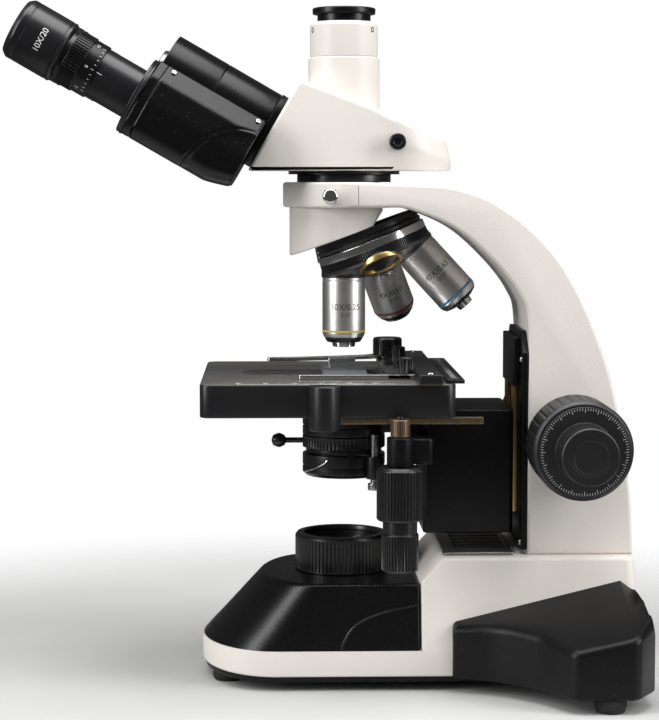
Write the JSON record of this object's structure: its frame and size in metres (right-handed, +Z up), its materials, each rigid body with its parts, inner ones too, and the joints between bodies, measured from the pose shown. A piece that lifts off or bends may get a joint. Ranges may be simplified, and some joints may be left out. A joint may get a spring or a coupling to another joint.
{
  "type": "microscope",
  "caption": "Upright trinocular laboratory microscope with inclined eyetubes, a four-port revolving nosepiece, a two-layer mechanical stage, a substage condenser and coaxial focus knobs.",
  "frame": {"origin": "middle of the footprint on the table", "axes": "+Z up, +X towards the arm, away from the user; -Y is the user's right; the optical axis is vertical at X = 11.5 mm, Y = 0"},
  "size_m": [0.3566, 0.232, 0.3843],
  "materials": {
    "white_paint": "fine textured powder coat",
    "black_paint": "fine textured satin powder coat",
    "black_plastic": "moulded, satin",
    "rubber": "matt",
    "chrome": "plated and polished",
    "steel": "turned",
    "anodised": "black anodised",
    "brass": "machined",
    "glass": "polished",
    "mirror": "front silvered"
  },
  "bodies": {
    "stand": {"base_casting": "white_paint", "base_plate": "black_paint", "front_cover": "black_plastic", "legs": "black_paint", "feet": "rubber", "vent_grille": "black_plastic", "collector_housing": "anodised", "field_lens": "glass", "lamp_module": "black_plastic", "mirror": "mirror", "power_inlet": "black_plastic", "arm": "white_paint", "front_plate": "black_paint", "guide_rails": "brass", "arm_collar": "anodised", "nosepiece_mount": "white_paint", "nosepiece_bearing": "anodised", "turret_pivot": "steel", "stop_collar": "black_plastic"},
    "collector_ring": {"collector_ring": "anodised"},
    "power_switch": {"power_switch": "black_plastic"},
    "brightness_dial": {"brightness_dial": "black_plastic"},
    "head_clamp_screw": {"head_clamp_screw": "chrome"},
    "turret": {"turret": "anodised", "port_inserts": "brass", "objective_10x": "chrome", "objective_4x": "chrome", "objective_40x": "chrome"},
    "head": {"head_dovetail": "anodised", "head_housing": "white_paint", "head_faceplate": "black_paint", "hub_axle": "steel", "trinocular_tube": "white_paint"},
    "dust_cap": {"dust_cap": "black_plastic"},
    "light_path_rod": {"light_path_rod": "black_plastic"},
    "right_wing": {"right_wing": "black_paint", "right_tube": "anodised"},
    "left_wing": {"left_wing": "black_paint", "left_tube": "anodised"},
    "right_diopter": {"right_diopter": "black_plastic"},
    "left_diopter": {"left_diopter": "black_plastic"},
    "right_eyepiece": {"right_eyepiece": "black_plastic"},
    "left_eyepiece": {"left_eyepiece": "black_plastic"},
    "coarse_knobs": {"coarse_knobs": "black_plastic"},
    "fine_knobs": {"fine_knobs": "black_plastic"},
    "tension_collar": {"tension_collar": "black_plastic"},
    "stage": {"stage_carrier": "black_paint", "stage_lower_plate": "anodised"},
    "stage_top": {"stage_top_plate": "anodised", "stage_rack": "brass"},
    "x_travel_knob": {"x_travel_knob": "anodised"},
    "y_travel_knob": {"y_travel_knob": "anodised"},
    "slide_carriage": {"slide_carriage": "anodised", "slide_holder": "steel", "specimen_slide": "glass"},
    "spring_finger": {"spring_finger": "steel"},
    "condenser": {"condenser": "anodised"},
    "iris_ring": {"iris_ring": "anodised"},
    "filter_holder": {"filter_holder": "anodised"},
    "condenser_knob": {"condenser_knob": "black_plastic"}
  },
  "joints": [
    {"name": "collector_ring_turn", "type": "hinge", "parent": "stand", "child": "collector_ring", "pos_m": [0.0103, 0, 0.07], "axis": [0, 0, 1], "range_deg": [-60, 60]},
    {"name": "power_switch_rock", "type": "hinge", "parent": "stand", "child": "power_switch", "pos_m": [0.171, -0.022, 0.04], "axis": [0, 1, 0], "range_deg": [-6, 6]},
    {"name": "brightness_turn", "type": "hinge", "parent": "stand", "child": "brightness_dial", "pos_m": [0.061, 0.06, 0.048], "axis": [0, 1, 0], "range_deg": [-135, 135]},
    {"name": "head_clamp_turn", "type": "hinge", "parent": "stand", "child": "head_clamp_screw", "pos_m": [0.0025, -0.04, 0.276], "axis": [0, -1, 0], "continuous": true},
    {"name": "turret_turn", "type": "hinge", "parent": "stand", "child": "turret", "pos_m": [0.032, 0, 0.2372], "axis": [-0.3633, 0, 0.9317], "continuous": true},
    {"name": "head_swivel", "type": "hinge", "parent": "stand", "child": "head", "pos_m": [0.0115, 0, 0.28], "axis": [0, 0, 1], "continuous": true},
    {"name": "dust_cap_lift", "type": "slide", "parent": "head", "child": "dust_cap", "axis": [0, 0, 1], "range_m": [0, 0.03]},
    {"name": "light_path_pull", "type": "slide", "parent": "head", "child": "light_path_rod", "axis": [0, -1, 0], "range_m": [0, 0.012]},
    {"name": "right_wing_swing", "type": "hinge", "parent": "head", "child": "right_wing", "pos_m": [0.1358, 0, 0.21529], "axis": [-0.866, 0, 0.5], "range_deg": [-11.5, 31]},
    {"name": "left_wing_swing", "type": "hinge", "parent": "head", "child": "left_wing", "pos_m": [0.1358, 0, 0.21529], "axis": [-0.866, 0, 0.5], "range_deg": [-31, 11.5]},
    {"name": "right_diopter_turn", "type": "hinge", "parent": "right_wing", "child": "right_diopter", "pos_m": [-0.13376, -0.032, 0.34841], "axis": [-0.866, 0, 0.5], "range_deg": [-120, 120]},
    {"name": "left_diopter_turn", "type": "hinge", "parent": "left_wing", "child": "left_diopter", "pos_m": [-0.13376, 0.032, 0.34841], "axis": [-0.866, 0, 0.5], "range_deg": [-120, 120]},
    {"name": "right_eyepiece_pull", "type": "slide", "parent": "right_wing", "child": "right_eyepiece", "axis": [-0.866, 0, 0.5], "range_m": [0, 0.022]},
    {"name": "left_eyepiece_pull", "type": "slide", "parent": "left_wing", "child": "left_eyepiece", "axis": [-0.866, 0, 0.5], "range_m": [0, 0.022]},
    {"name": "stage_lift", "type": "slide", "parent": "stand", "child": "stage", "axis": [0, 0, 1], "range_m": [-0.008, 0.006]},
    {"name": "coarse_focus", "type": "hinge", "parent": "stand", "child": "coarse_knobs", "pos_m": [0.1387, 0, 0.1385], "axis": [0, 1, 0], "range_deg": [-60, 60]},
    {"name": "fine_focus", "type": "hinge", "parent": "stand", "child": "fine_knobs", "pos_m": [0.1387, 0, 0.1385], "axis": [0, 1, 0], "continuous": true},
    {"name": "tension_turn", "type": "hinge", "parent": "stand", "child": "tension_collar", "pos_m": [0.1387, -0.045, 0.1385], "axis": [0, 1, 0], "range_deg": [-40, 40]},
    {"name": "stage_x", "type": "slide", "parent": "stage", "child": "stage_top", "axis": [1, 0, 0], "range_m": [-0.008, 0.026]},
    {"name": "x_travel_turn", "type": "hinge", "parent": "stage", "child": "x_travel_knob", "pos_m": [0.0395, -0.08, 0.115], "axis": [0, 0, 1], "range_deg": [-360, 360]},
    {"name": "stage_y", "type": "slide", "parent": "stage_top", "child": "slide_carriage", "axis": [0, 1, 0], "range_m": [-0.025, 0.025]},
    {"name": "y_travel_turn", "type": "hinge", "parent": "stage", "child": "y_travel_knob", "pos_m": [0.0395, -0.08, 0.085], "axis": [0, 0, 1], "range_deg": [-360, 360]},
    {"name": "finger_open", "type": "hinge", "parent": "slide_carriage", "child": "spring_finger", "pos_m": [0.0401, 0.062, 0.18], "axis": [0, 0, 1], "range_deg": [-25, 0], "stiffness_Nm_per_rad": 0.05, "springref_deg": 8.59},
    {"name": "condenser_height", "type": "slide", "parent": "stage", "child": "condenser", "axis": [0, 0, 1], "range_m": [-0.012, 0]},
    {"name": "condenser_knob_turn", "type": "hinge", "parent": "stage", "child": "condenser_knob", "pos_m": [0.0735, 0.04, 0.12], "axis": [0, 1, 0], "range_deg": [-120, 120]},
    {"name": "iris_turn", "type": "hinge", "parent": "condenser", "child": "iris_ring", "pos_m": [0.0115, 0, 0.1345], "axis": [0, 0, 1], "range_deg": [-35, 35]},
    {"name": "filter_swing", "type": "hinge", "parent": "condenser", "child": "filter_holder", "pos_m": [0.0285, -0.0205, 0.12], "axis": [0, 0, 1], "range_deg": [0, 70]}
  ],
  "couplings": [
    {"joint": "left_wing_swing", "follows": "right_wing_swing", "ratio": -1},
    {"joint": "coarse_focus", "follows": "stage_lift", "rad_per_m": -125},
    {"joint": "x_travel_turn", "follows": "stage_x", "rad_per_m": -185.19},
    {"joint": "y_travel_turn", "follows": "stage_y", "rad_per_m": 185.19},
    {"joint": "condenser_knob_turn", "follows": "condenser_height", "rad_per_m": 150}
  ]
}
